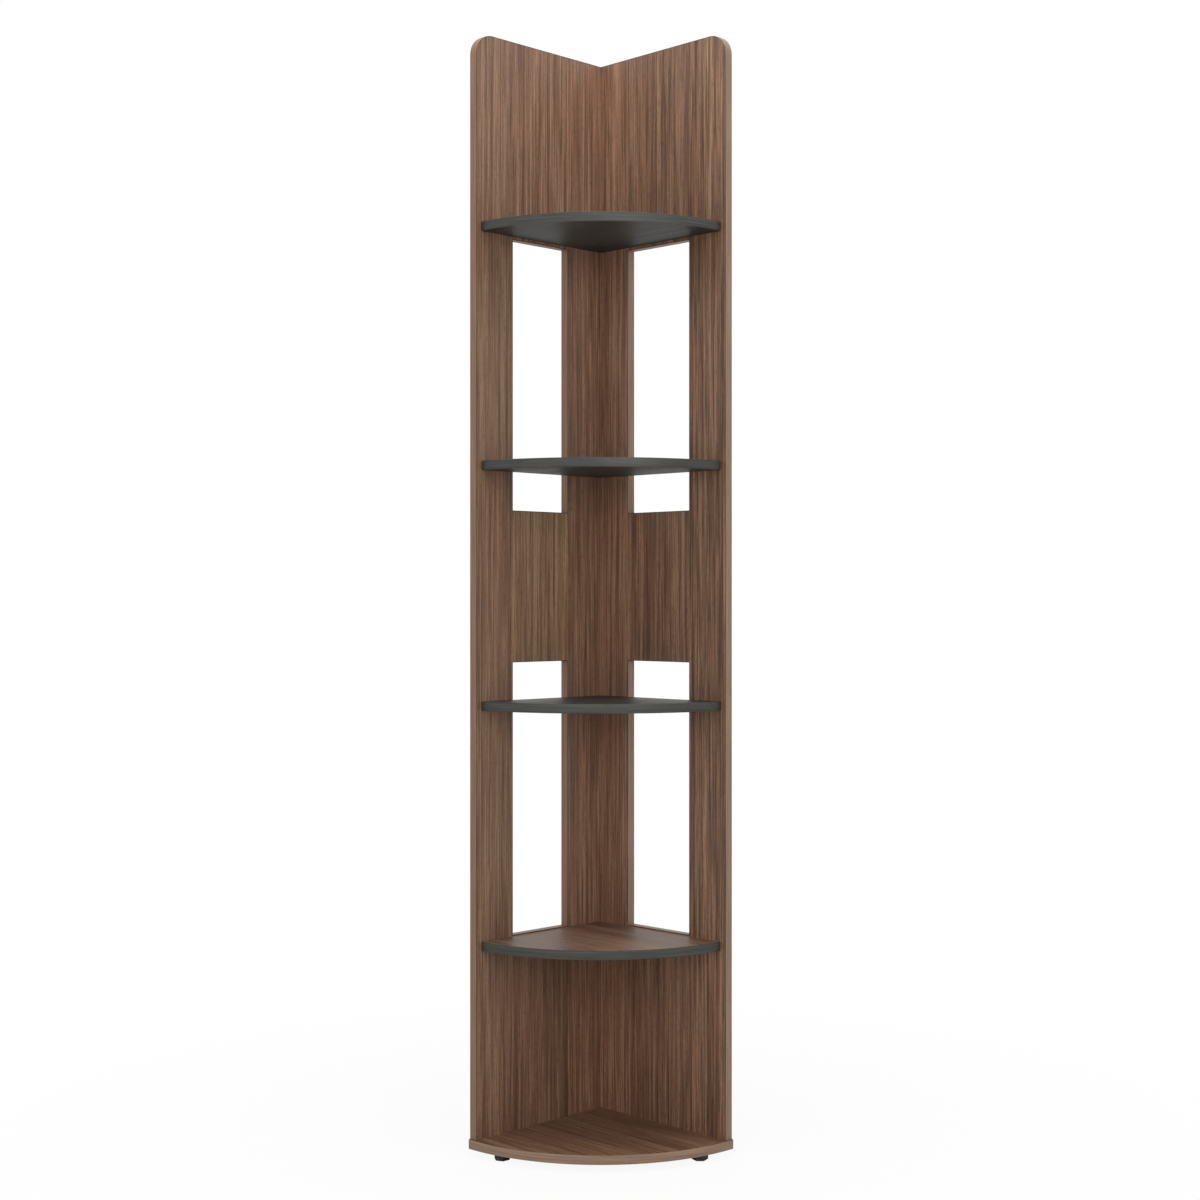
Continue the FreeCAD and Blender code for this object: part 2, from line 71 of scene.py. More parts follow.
def add(tree, kind, given=None, stops=None, **settings):
    """Adds a node with its settings, and sets or links the inputs that are given."""
    node = tree.nodes.new(kind)
    for name, setting in settings.items():
        setattr(node, name, setting)
    for name, source in (given or {}).items():
        if isinstance(source, bpy.types.NodeSocket):
            tree.links.new(source, node.inputs[name])
        else:
            node.inputs[name].default_value = source
    for index, (place, tone) in enumerate(stops or ()):
        elements = node.color_ramp.elements
        stop = elements[index] if index < len(elements) else elements.new(place)
        stop.position = place
        stop.color = tone
    return node


def ranged(tree, value, wanted, given=(0.0, 1.0)):
    """A value brought from the given range into the wanted one, and held inside it."""
    return add(tree, "ShaderNodeMapRange",
               {"Value": value, "From Min": given[0], "From Max": given[1],
                "To Min": wanted[0], "To Max": wanted[1]}).outputs[0]


def relief(tree, shader, height, strength, depth):
    """Relief too fine to model, from a height between 0 and 1, with a strength and a depth."""
    bump = add(tree, "ShaderNodeBump", {"Height": height, "Strength": strength, "Distance": depth})
    tree.links.new(bump.outputs["Normal"], shader.inputs["Normal"])


def new_finish(name):
    """An empty material, with its node tree and its shader."""
    material = bpy.data.materials.new(name)
    material.use_nodes = True
    tree = material.node_tree
    tree.nodes.clear()
    shader = add(tree, "ShaderNodeBsdfPrincipled")
    output = add(tree, "ShaderNodeOutputMaterial")
    tree.links.new(shader.outputs["BSDF"], output.inputs["Surface"])
    return material, tree, shader


def dress(piece, material):
    """Gives a piece its finish, in place of the plain one that it comes with."""
    piece.data.materials.clear()
    piece.data.materials.append(material)


# The print is made of layers, each with a width across the grain, a length along it and a
# share of the brown that it shifts. From the finest up: fibres, strands, streaks and bands.
GRAIN_LAYERS = (
    (1.4 * MM, 70 * MM, 0.9),
    (2.6 * MM, 220 * MM, 1.3),
    (6.5 * MM, 480 * MM, 0.8),
    (34 * MM, 900 * MM, 0.4),
)
GRAIN_DETAIL = 1.5
TONE_PLACES = (0.2, 0.5, 0.8)

# It shows narrow strips of veneer side by side, each a little lighter or darker, and long
# patches that are a little redder.
VENEER = 42 * MM
VENEER_SHARE = 0.16
VENEER_BLEND = 0.08
RED_PATCH = (38 * MM, 900 * MM)
RED_RANGE = (0.35, 0.65)
RED_SHARE = 0.18

# Its streaks waver slightly, and short dark pores are pressed into the resin.
WAVE = (24 * MM, 90 * MM)
WAVE_DETAIL = 1.0
WAVE_DEPTH = 1.6 * MM
PORE = (1.1 * MM, 10 * MM)
PORE_RANGE = (0.30, 0.42)
PORE_SHADE = 0.74
SMOOTH = 0.0
NOISE_MIDDLE = 0.5


def grain_noise(tree, place, size, **inputs):
    """Noise drawn out along the grain, which is the Z of the given place."""
    across, along = size
    scaled = add(tree, "ShaderNodeVectorMath", {0: place, 1: (1 / across, 1 / across, 1 / along)},
                 operation="MULTIPLY")
    return add(tree, "ShaderNodeTexNoise", {"Vector": scaled.outputs[0], "Scale": 1.0, **inputs})


def wood_print(tree, shift, turn, tones):
    """The printed wood: its colour, the height of its pressed pores, and how light it is."""
    dark, middle, light, red = tones
    here = add(tree, "ShaderNodeTexCoord").outputs["Object"]
    turned = add(tree, "ShaderNodeMapping",
                 {"Vector": here, "Location": shift, "Rotation": turn}).outputs[0]
    wave = grain_noise(tree, turned, WAVE, Detail=WAVE_DETAIL)
    centred = add(tree, "ShaderNodeVectorMath",
                  {0: wave.outputs["Color"], 1: (NOISE_MIDDLE, NOISE_MIDDLE, NOISE_MIDDLE)},
                  operation="SUBTRACT")
    bent = add(tree, "ShaderNodeVectorMath",
               {0: centred.outputs[0], 1: (WAVE_DEPTH, WAVE_DEPTH, 0.0), 2: turned},
               operation="MULTIPLY_ADD").outputs[0]
    parts = add(tree, "ShaderNodeSeparateXYZ", {0: bent}).outputs
    across_grain = add(tree, "ShaderNodeMath", {0: parts["X"], 1: parts["Y"]}, operation="ADD")
    strip = add(tree, "ShaderNodeTexVoronoi",
                {"W": across_grain.outputs[0], "Scale": 1 / VENEER, "Smoothness": VENEER_BLEND},
                voronoi_dimensions="1D", feature="SMOOTH_F1")
    shade = add(tree, "ShaderNodeSeparateColor", {0: strip.outputs["Color"]}).outputs[0]
    start = NOISE_MIDDLE - (VENEER_SHARE + sum(share for _, _, share in GRAIN_LAYERS)) / 2
    level = add(tree, "ShaderNodeMath", {0: shade, 1: VENEER_SHARE, 2: start},
                operation="MULTIPLY_ADD").outputs[0]
    for across, along, share in GRAIN_LAYERS:
        layer = grain_noise(tree, bent, (across, along), Detail=GRAIN_DETAIL)
        level = add(tree, "ShaderNodeMath", {0: layer.outputs[0], 1: share, 2: level},
                    operation="MULTIPLY_ADD").outputs[0]
    brown = add(tree, "ShaderNodeValToRGB", {"Fac": level},
                stops=zip(TONE_PLACES, (dark, middle, light)))
    redness = grain_noise(tree, turned, RED_PATCH, Detail=SMOOTH)
    reddened = ranged(tree, redness.outputs[0], (0.0, RED_SHARE), RED_RANGE)
    toned = add(tree, "ShaderNodeMix", {0: reddened, 6: brown.outputs["Color"], 7: red},
                data_type="RGBA", blend_type="SOFT_LIGHT")
    pore = grain_noise(tree, bent, PORE, Detail=SMOOTH)
    pit = ranged(tree, pore.outputs[0], (PORE_SHADE, 1.0), PORE_RANGE)
    pitted = add(tree, "ShaderNodeVectorMath", {0: toned.outputs[2], "Scale": pit},
                 operation="SCALE")
    return pitted.outputs[0], pit, level


# The core at a sawn edge: pale chips, pressed flat between the faces, in dust, with dark gaps.
# How far the chips bend, and how wide the gaps are, is measured in chips.
CHIP_LENGTH = 3.4 * MM
CHIP_THICKNESS = 1.2 * MM
CHIP_BEND = 0.8
CHIP_DUST = 0.45
DUST_DETAIL = 3.0
CHIP_TONES = (linear("8F7049"), linear("B5966C"), linear("D2B78E"))
GAP_WIDTH = 0.1
GAP_SHADE = 0.72


def chipboard(tree, face_axis):
    """The bare core: its colour, and the height of its gaps."""
    here = add(tree, "ShaderNodeTexCoord").outputs["Object"]
    pressed = [1 / (CHIP_THICKNESS if part else CHIP_LENGTH) for part in face_axis]
    packed = add(tree, "ShaderNodeVectorMath", {0: here, 1: pressed},
                 operation="MULTIPLY").outputs[0]
    dust = add(tree, "ShaderNodeTexNoise", {"Vector": packed, "Scale": 1.0, "Detail": DUST_DETAIL})
    bent = add(tree, "ShaderNodeVectorMath",
               {0: dust.outputs["Color"], 1: (CHIP_BEND, CHIP_BEND, CHIP_BEND), 2: packed},
               operation="MULTIPLY_ADD").outputs[0]
    chips = add(tree, "ShaderNodeTexVoronoi", {"Vector": bent, "Scale": 1.0})
    cracks = add(tree, "ShaderNodeTexVoronoi", {"Vector": bent, "Scale": 1.0},
                 feature="DISTANCE_TO_EDGE")
    shade = add(tree, "ShaderNodeSeparateColor", {0: chips.outputs["Color"]})
    dusty = add(tree, "ShaderNodeMix", {0: CHIP_DUST, 2: shade.outputs[0], 3: dust.outputs[0]})
    tan = add(tree, "ShaderNodeValToRGB", {"Fac": dusty.outputs[0]},
              stops=zip(TONE_PLACES, CHIP_TONES))
    gap = ranged(tree, cracks.outputs[0], (GAP_SHADE, 1.0), (0.0, GAP_WIDTH))
    cracked = add(tree, "ShaderNodeVectorMath", {0: tan.outputs["Color"], "Scale": gap},
                  operation="SCALE")
    return cracked.outputs[0], gap


# Light streaks of the print are a little rougher than dark ones, and the sawn core is dull.
# A surface carries the print where it turns less than 60 degrees away from the face.
PRINT_ROUGHNESS = (0.46, 0.58)
ROUGHNESS_LEVELS = (0.3, 0.7)
SAWN_ROUGHNESS = 0.9
FACE_LIMIT = 0.5
PRESSING = (0.35, 0.15 * MM)
WALNUT_SHINE = 0.5


def melamine_board(name, face_axis, shift, turn, tones, shine=WALNUT_SHINE):
    """Melamine-faced chipboard: the print on the two faces, and the bare core at the edges."""
    material, tree, shader = new_finish(name)
    tint, pits, level = wood_print(tree, shift, turn, tones)
    core, gaps = chipboard(tree, face_axis)
    normal = add(tree, "ShaderNodeTexCoord").outputs["Normal"]
    facing = add(tree, "ShaderNodeVectorMath", {0: normal, 1: face_axis}, operation="DOT_PRODUCT")
    squareness = add(tree, "ShaderNodeMath", {0: facing.outputs["Value"]}, operation="ABSOLUTE")
    face = add(tree, "ShaderNodeMath", {0: squareness.outputs[0], 1: FACE_LIMIT},
               operation="GREATER_THAN").outputs[0]
    colour = add(tree, "ShaderNodeMix", {0: face, 6: core, 7: tint}, data_type="RGBA")
    satin = ranged(tree, level, PRINT_ROUGHNESS, ROUGHNESS_LEVELS)
    rough = add(tree, "ShaderNodeMix", {0: face, 2: SAWN_ROUGHNESS, 3: satin})
    height = add(tree, "ShaderNodeMix", {0: face, 2: gaps, 3: pits})
    relief(tree, shader, height.outputs[0], *PRESSING)
    tree.links.new(colour.outputs[2], shader.inputs["Base Color"])
    tree.links.new(rough.outputs[0], shader.inputs["Roughness"])
    shader.inputs["Specular IOR Level"].default_value = shine
    return material


LEVEL_FACE = (0.0, 0.0, 1.0)
GRAIN_UP = (0.0, 0.0, 0.0)
GRAIN_ALONG_X = (0.0, math.radians(90), 0.0)
BASE_CUT = (0.0, 0.31, 0.0)
WALNUT = (linear("543C2C"), linear("6F523D"), linear("8A6C55"), linear("8A5A46"))

dress(nodes["base_board"],
      melamine_board("walnut_melamine_base", LEVEL_FACE, BASE_CUT, GRAIN_ALONG_X, WALNUT))

# Glides: three low hexagonal pads of black polyethylene, each held by a stud of its own under
# the base board, to keep it off the floor. Moulded matt, with a fine spark-eroded grain that
# only shows as a soft broken sheen, and slightly paler where it is scuffed.
GLIDE_TONES = (linear("171716"), linear("3A3A39"))
SCUFFS_PER_METRE = 160.0
SCUFF_DETAIL = 3.0
SCUFF_PLACES = (0.35, 0.75)
SPARK_GRAIN = 0.8 * MM
SPARK_DETAIL = 2.0
SPARK_RELIEF = (0.3, 0.1 * MM)
GLIDE_ROUGHNESS = (0.47, 0.63)


def moulded_plastic(name):
    """Black polyethylene, matt from the mould."""
    material, tree, shader = new_finish(name)
    here = add(tree, "ShaderNodeTexCoord").outputs["Object"]
    grain = add(tree, "ShaderNodeTexNoise",
                {"Vector": here, "Scale": 1 / SPARK_GRAIN, "Detail": SPARK_DETAIL}).outputs[0]
    scuffs = add(tree, "ShaderNodeTexNoise",
                 {"Vector": here, "Scale": SCUFFS_PER_METRE, "Detail": SCUFF_DETAIL})
    worn = add(tree, "ShaderNodeValToRGB", {"Fac": scuffs.outputs[0]},
               stops=zip(SCUFF_PLACES, GLIDE_TONES))
    relief(tree, shader, grain, *SPARK_RELIEF)
    tree.links.new(worn.outputs["Color"], shader.inputs["Base Color"])
    tree.links.new(ranged(tree, grain, GLIDE_ROUGHNESS), shader.inputs["Roughness"])
    return material


dress(nodes["glides"], moulded_plastic("black_polyethylene"))

# Wall frames: each a stile at the back corner, a stile at the front, and three boards between
# them, all of the base's melamine board with the grain upright. The boards are cut from
# different places in the sheet, so each has its own streaks, and the browns differ slightly.
RIGHT_FACE = (0.0, 1.0, 0.0)
LEFT_FACE = (1.0, 0.0, 0.0)
OLIVE = (linear("59432F"), linear("7A5E45"), linear("94775B"), linear("84603F"))
REDDISH = (linear("543C2C"), linear("745641"), linear("8F7159"), linear("8C5444"))
WARM = (linear("463322"), linear("70523B"), linear("95735A"), linear("8A5A46"))
INNER = (linear("5A412F"), linear("795944"), linear("96745C"), linear("8A5A46"))
WALL_CUTS = {
    "right_inner_stile": ((0.00, 0.10, 0.0), INNER),
    "right_outer_stile": ((0.53, 0.20, 0.7), WARM),
    "right_top_board": ((1.21, 0.30, 1.9), REDDISH),
    "right_middle_board": ((1.87, 0.40, 2.3), REDDISH),
    "right_lower_board": ((2.41, 0.50, 3.1), REDDISH),
    "left_inner_stile": ((3.07, 0.00, 0.4), INNER),
    "left_outer_stile": ((3.59, 0.60, 1.3), WALNUT),
    "left_top_board": ((4.13, 1.20, 2.2), INNER),
    "left_middle_board": ((4.77, 1.80, 2.9), OLIVE),
    "left_lower_board": ((5.31, 2.40, 3.7), WALNUT),
}
for board, (shift, tones) in WALL_CUTS.items():
    face = RIGHT_FACE if board.startswith("right") else LEFT_FACE
    dress(nodes[board], melamine_board(f"walnut_melamine_{board}", face, shift, GRAIN_UP, tones))

# Tongues: strips of birch plywood, glued into the grooves between the stiles and the boards.
# They are sawn and unfinished, pale and dull, with a fine upright fibre, and nothing of them
# shows once the wall is together.
BIRCH = (linear("B0946C"), linear("D2BA92"))
BIRCH_PLACES = (0.3, 0.7)
FIBRES_PER_METRE = (900.0, 900.0, 25.0)
FIBRE_DETAIL = 2.0
FIBRE_RELIEF = (0.3, 0.1 * MM)
BIRCH_ROUGHNESS = 0.8


def birch_plywood(name):
    """Sawn birch plywood."""
    material, tree, shader = new_finish(name)
    here = add(tree, "ShaderNodeTexCoord").outputs["Object"]
    drawn = add(tree, "ShaderNodeVectorMath", {0: here, 1: FIBRES_PER_METRE}, operation="MULTIPLY")
    fibre = add(tree, "ShaderNodeTexNoise",
                {"Vector": drawn.outputs[0], "Scale": 1.0, "Detail": FIBRE_DETAIL}).outputs[0]
    pale = add(tree, "ShaderNodeValToRGB", {"Fac": fibre}, stops=zip(BIRCH_PLACES, BIRCH))
    relief(tree, shader, fibre, *FIBRE_RELIEF)
    tree.links.new(pale.outputs["Color"], shader.inputs["Base Color"])
    shader.inputs["Roughness"].default_value = BIRCH_ROUGHNESS
    return material


plywood = birch_plywood("birch_plywood")
for wall in ("left", "right"):
    dress(nodes[f"{wall}_wall_tongues"], plywood)

# Edging of the walls and the base: 1 mm ABS strip, printed to match the walnut but a shade
# lighter, glued on hot and scraped flush. The scraper leaves each outer arris slightly round,
# and the strip's cut side shows as a thin dark line round every board, partly its own colour
# and partly painted shade along the board's edges.
ARRIS = 0.4 * MM
ARRIS_STEPS = 3
ROUND_PROFILE = 0.5

# Before that, the doubled points of the strip's mesh are merged and the lines across its flat
# faces are taken out. Its faces are told apart by where they look and how far out they lie.
MERGE = 0.01 * MM
FLAT_ANGLE = math.radians(1)
SQUARE_ON = 0.9
OUTER_MARGIN = 0.5 * MM


def long_arrises(shape, middle, outwards, side):
    """The edges between a strip's outer face and its two cut sides.

    The outer face looks away from the middle where outwards is 1, and to it where it is -1.
    """
    outer = set()
    sides = set()
    for face in shape.faces:
        if abs(face.normal.dot(side)) > SQUARE_ON:
            sides.add(face)
        elif outwards * (face.calc_center_median() - middle).dot(face.normal) > OUTER_MARGIN:
            outer.add(face)
    return [edge for edge in shape.edges
            if outer.intersection(edge.link_faces) and sides.intersection(edge.link_faces)]


def edging(name, node, middle, outwards, side_axis, strip):
    """A copy of a node of edging strip, with the long arrises of its outer face rounded."""
    mesh = nodes[node].data.copy()
    shape = bmesh.new()
    shape.from_mesh(mesh)
    bmesh.ops.remove_doubles(shape, verts=shape.verts, dist=MERGE)
    bmesh.ops.dissolve_limit(shape, angle_limit=FLAT_ANGLE, verts=shape.verts, edges=shape.edges)
    arrises = long_arrises(shape, Vector(middle), outwards, Vector(side_axis))
    bmesh.ops.bevel(shape, geom=arrises, offset=ARRIS, segments=ARRIS_STEPS,
                    profile=ROUND_PROFILE, affect="EDGES", clamp_overlap=True)
    shape.to_mesh(mesh)
    shape.free()
    piece = bpy.data.objects.new(name, mesh)
    bpy.context.scene.collection.objects.link(piece)
    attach(piece, "root")
    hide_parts(node)
    dress(piece, strip)


# The strip's print is one quiet run of streaks, narrow across the strip and long along it. The
# dark cut side, partly painted shade, fades in on the round of the arris.
STREAK_WIDTH = 2.5 * MM
STREAK_LENGTH = 130 * MM
STREAK_DETAIL = 3.0
STREAK_FINE_SHARE = 0.6
STREAK_PLACES = (0.25, 0.5, 0.75)
STREAK_RELIEF = (0.2, 0.1 * MM)
STRIP_ROUGHNESS = (0.40, 0.56)
CUT_TURN = (0.5, 0.9)


def printed_strip(name, side_axis, way, tones):
    """Edging strip: a quiet print that follows its run, and a dark cut side, partly painted shade.
    """
    dark, middle, light, cut_side_and_shade = tones
    material, tree, shader = new_finish(name)
    here = add(tree, "ShaderNodeTexCoord")
    across = add(tree, "ShaderNodeVectorMath",
                 {0: here.outputs["Object"], 1: Vector(side_axis) / STREAK_WIDTH},
                 operation="DOT_PRODUCT")
    along = add(tree, "ShaderNodeVectorMath",
                {0: here.outputs["Object"], 1: Vector(way) / STREAK_LENGTH},
                operation="DOT_PRODUCT")
    spot = add(tree, "ShaderNodeCombineXYZ",
               {"X": across.outputs["Value"], "Y": along.outputs["Value"]})
    streak = add(tree, "ShaderNodeTexNoise",
                 {"Vector": spot.outputs[0], "Scale": 1.0, "Detail": STREAK_DETAIL,
                  "Roughness": STREAK_FINE_SHARE}).outputs[0]
    brown = add(tree, "ShaderNodeValToRGB", {"Fac": streak},
                stops=zip(STREAK_PLACES, (dark, middle, light)))
    facing = add(tree, "ShaderNodeVectorMath", {0: here.outputs["Normal"], 1: side_axis},
                 operation="DOT_PRODUCT")
    squareness = add(tree, "ShaderNodeMath", {0: facing.outputs["Value"]}, operation="ABSOLUTE")
    side = ranged(tree, squareness.outputs[0], (0.0, 1.0), CUT_TURN)
    # The cut side's near-black colour is partly the strip's own side and partly painted shade.
    colour = add(tree, "ShaderNodeMix", {0: side, 6: brown.outputs["Color"], 7: cut_side_and_shade},
                 data_type="RGBA")
    relief(tree, shader, streak, *STREAK_RELIEF)
    tree.links.new(colour.outputs[2], shader.inputs["Base Color"])
    tree.links.new(ranged(tree, streak, STRIP_ROUGHNESS), shader.inputs["Roughness"])
    return material


# Each strip's way is a direction that its run keeps to, all round its bends: up the front of a
# wall and back along the top, or round a quarter circle from left to right.
LEFT_WAY = (0.0, 1.0, 1.0)
RIGHT_WAY = (-1.0, 0.0, 1.0)
LEVEL_WAY = (1.0, 1.0, 0.0)
WALNUT_STRIP = (linear("6E5544"), linear("816752"), linear("947B67"), linear("2A1F18"))
# The left wall's strip is the same strip drawn darker and warmer: painted shade, for its front,
# which gets less light than the right wall's.
PAINTED_SHADE_STRIP = (linear("694B38"), linear("7C5B45"), linear("8F6E57"), linear("2A1F18"))
WALL_STRIPS = {
    "left": (LEFT_FACE, LEFT_WAY, PAINTED_SHADE_STRIP),
    "right": (RIGHT_FACE, RIGHT_WAY, WALNUT_STRIP),
}

for wall, (side_axis, way, tones) in WALL_STRIPS.items():
    strip = printed_strip(f"walnut_edging_{wall}", side_axis, way, tones)
    low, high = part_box(f"{wall}_rim_band")
    back_foot = (low.x, high.y, low.z)
    edging(f"{wall}_rim_edging", f"{wall}_rim_band", back_foot, 1, side_axis, strip)
    for window in ("upper", "lower"):
        node = f"{wall}_{window}_window_band"
        low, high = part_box(node)
        edging(f"{wall}_{window}_window_edging", node, (low + high) / 2, -1, side_axis, strip)


def square_corner(board):
    """The middle of a quarter-round's back corner, which its round edge looks away from."""
    low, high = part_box(board)
    return low.x, high.y, (low.z + high.z) / 2


strip = printed_strip("walnut_edging_base", LEVEL_FACE, LEVEL_WAY, WALNUT_STRIP)
edging("base_edging", "base_band", square_corner("base_board"), 1, LEVEL_FACE, strip)

# Shelves: quarter-rounds of the same board. Three have a graphite print on both faces, and the
# bottom one has the walnut print, drawn darker than the base's as painted shade. The graphite
# is a dark grey with a faint straight grain, and it shines a little less than the walnut.
GRAPHITE = (linear("1C1B17"), linear("292822"), linear("36342F"), linear("352D26"))
# The bottom shelf's walnut is the base's walnut drawn darker: painted shade, for the shade of the
# shelves above it.
SHADED_WALNUT = (linear("4C3527"), linear("684C38"), linear("846650"), linear("8A5A46"))
GRAPHITE_SHINE = 0.4
SHELF_CUTS = {
    "top_shelf": ((0.2, 0.7, 0.1), GRAPHITE, "graphite", GRAPHITE_SHINE),
    "upper_shelf": ((1.2, 1.7, 0.5), GRAPHITE, "graphite", GRAPHITE_SHINE),
    "lower_shelf": ((2.2, 2.7, 0.9), GRAPHITE, "graphite", GRAPHITE_SHINE),
    "bottom_shelf": ((3.2, 3.7, 1.3), SHADED_WALNUT, "walnut", WALNUT_SHINE),
}
for shelf, (shift, tones, finish, shine) in SHELF_CUTS.items():
    melamine = melamine_board(f"{finish}_melamine_{shelf}", LEVEL_FACE, shift, GRAIN_ALONG_X,
                              tones, shine)
    dress(nodes[shelf], melamine)

# Edging of the shelves: the same 1 mm strip in graphite, bent round each front, also on the
# bottom shelf. Its print runs along the strip, and its cut side is nearly black, partly its own
# colour and partly painted shade for the thin shadow under each shelf's front.
GRAPHITE_STRIP = (linear("171714"), linear("2C2C28"), linear("42423D"), linear("151513"))
strip = printed_strip("graphite_edging", LEVEL_FACE, LEVEL_WAY, GRAPHITE_STRIP)
for shelf in SHELF_CUTS:
    edging(f"{shelf}_edging", f"{shelf}_band", square_corner(shelf), 1, LEVEL_FACE, strip)

# Screws: zinc-plated steel connecting screws, driven with a hex key through the stiles into the
# shelves, through the right inner stile into the left one, and up through the base board.
# Each has a cylinder head with a hex socket, a coarse thread and a blunt point.
SCREW_SIZES = {
    "Head diameter": 7.0 * MM,
    "Head length": 5.0 * MM,
    "Socket width": 4.0 * MM,
    "Socket depth": 3.0 * MM,
    "Core diameter": 4.6 * MM,
    "Length": 50 * MM,
    "Pitch": 3.0 * MM,
    "Point length": 5.0 * MM,
    "Sunk": 0.3 * MM,
}

# A round part and the hex socket have these many sides, and the tip of the point has this
# share of the core's diameter as its radius.
ROUND = 24
HEXAGON = 6
TIP_SHARE = 0.15

# The thread is a triangle that winds midway between the core and the head's diameter. Its size
# comes from a circle that just fits between the two.
HELIX_SHARE = 0.25
RIDGE_CORNERS = 3
RIDGE_SHARE = 0.24


def screw_tree():
    """Geometry Nodes that put one screw on each point, driven along the point's own direction."""
    tree = bpy.data.node_groups.new("connecting_screws", "GeometryNodeTree")
    tree.interface.new_socket("Places", in_out="INPUT", socket_type="NodeSocketGeometry")
    for name, size in SCREW_SIZES.items():
        item = tree.interface.new_socket(name, in_out="INPUT", socket_type="NodeSocketFloat")
        item.default_value = size
    tree.interface.new_socket("Steel", in_out="INPUT", socket_type="NodeSocketMaterial")
    tree.interface.new_socket("Screws", in_out="OUTPUT", socket_type="NodeSocketGeometry")
    size = add(tree, "NodeGroupInput").outputs

    def worked_out(operation, first, second, third=0.0):
        """One step of arithmetic on the screw's sizes."""
        return add(tree, "ShaderNodeMath", {0: first, 1: second, 2: third},
                   operation=operation).outputs[0]

    def raised(mesh, rise):
        """A mesh moved along the screw's axis."""
        lift = add(tree, "ShaderNodeCombineXYZ", {"Z": rise}).outputs[0]
        return add(tree, "GeometryNodeTransform", {"Geometry": mesh, "Translation": lift})

    def rod(diameter, length, rise, corners):
        """A round or six-sided rod that starts at a rise above the head's face."""
        radius = worked_out("MULTIPLY", diameter, 0.5)
        body = add(tree, "GeometryNodeMeshCylinder",
                   {"Vertices": corners, "Radius": radius, "Depth": length}, fill_type="NGON")
        return raised(body.outputs["Mesh"], worked_out("MULTIPLY_ADD", length, 0.5, rise))

    head = rod(size["Head diameter"], size["Head length"], size["Sunk"], ROUND)
    across_corners = worked_out("MULTIPLY", size["Socket width"], 1 / math.cos(math.pi / HEXAGON))
    twice_sunk = worked_out("MULTIPLY", size["Sunk"], 2.0)
    key_depth = worked_out("ADD", size["Socket depth"], twice_sunk)
    above_head = worked_out("MULTIPLY", size["Sunk"], -1.0)
    key = rod(across_corners, key_depth, above_head, HEXAGON)
    drilled = add(tree, "GeometryNodeMeshBoolean",
                  {"Mesh 1": head.outputs[0], "Mesh 2": key.outputs[0]},
                  operation="DIFFERENCE", solver="EXACT")

    neck = worked_out("ADD", size["Head length"], size["Sunk"])
    below_head = worked_out("SUBTRACT", size["Length"], neck)
    shank_length = worked_out("SUBTRACT", below_head, size["Point length"])
    shank = rod(size["Core diameter"], shank_length, neck, ROUND)
    point_start = worked_out("SUBTRACT", size["Length"], size["Point length"])
    core_radius = worked_out("MULTIPLY", size["Core diameter"], 0.5)
    tip_radius = worked_out("MULTIPLY", size["Core diameter"], TIP_SHARE)
    point = add(tree, "GeometryNodeMeshCone",
                {"Vertices": ROUND, "Radius Top": tip_radius, "Radius Bottom": core_radius,
                 "Depth": size["Point length"]})
    point = raised(point.outputs["Mesh"], point_start)

    turns = worked_out("DIVIDE", shank_length, size["Pitch"])
    both = worked_out("ADD", size["Head diameter"], size["Core diameter"])
    between = worked_out("SUBTRACT", size["Head diameter"], size["Core diameter"])
    helix_radius = worked_out("MULTIPLY", both, HELIX_SHARE)
    helix = add(tree, "GeometryNodeCurveSpiral",
                {"Resolution": ROUND // 2, "Rotations": turns, "Start Radius": helix_radius,
                 "End Radius": helix_radius, "Height": shank_length})
    ridge_radius = worked_out("MULTIPLY", between, RIDGE_SHARE)
    ridge = add(tree, "GeometryNodeCurvePrimitiveCircle",
                {"Resolution": RIDGE_CORNERS, "Radius": ridge_radius})
    thread = add(tree, "GeometryNodeCurveToMesh",
                 {"Curve": helix.outputs[0], "Profile Curve": ridge.outputs[0], "Fill Caps": True})
    thread = raised(thread.outputs[0], neck)

    whole = add(tree, "GeometryNodeJoinGeometry")
    for part in (drilled, shank, point, thread):
        tree.links.new(part.outputs[0], whole.inputs[0])
    drive = add(tree, "GeometryNodeInputNamedAttribute", {"Name": "drive"},
                data_type="FLOAT_VECTOR")
    turned = add(tree, "FunctionNodeAlignRotationToVector", {"Vector": drive.outputs[0]}, axis="Z")
    placed = add(tree, "GeometryNodeInstanceOnPoints",
                 {"Points": size["Places"], "Instance": whole.outputs[0],
                  "Rotation": turned.outputs[0]})
    real = add(tree, "GeometryNodeRealizeInstances", {0: placed.outputs[0]})
    steel = add(tree, "GeometryNodeSetMaterial",
                {"Geometry": real.outputs[0], "Material": size["Steel"]})
    add(tree, "NodeGroupOutput", {0: steel.outputs[0]})
    return tree


ZINC = (linear("A9A89F"), linear("C9C8C2"))
ZINC_PLACES = (0.3, 0.7)
ZINC_ROUGHNESS = (0.28, 0.48)
CLOUDS_PER_METRE = 350.0
CLOUD_DETAIL = 3.0


def zinc_steel(name):
    """Bright zinc plate: pale grey metal, faintly clouded by the bath."""
    material, tree, shader = new_finish(name)
    here = add(tree, "ShaderNodeTexCoord").outputs["Object"]
    cloud = add(tree, "ShaderNodeTexNoise",
                {"Vector": here, "Scale": CLOUDS_PER_METRE, "Detail": CLOUD_DETAIL}).outputs[0]
    tone = add(tree, "ShaderNodeValToRGB", {"Fac": cloud}, stops=zip(ZINC_PLACES, ZINC))
    tree.links.new(tone.outputs["Color"], shader.inputs["Base Color"])
    tree.links.new(ranged(tree, cloud, ZINC_ROUGHNESS), shader.inputs["Roughness"])
    shader.inputs["Metallic"].default_value = 1.0
    return material


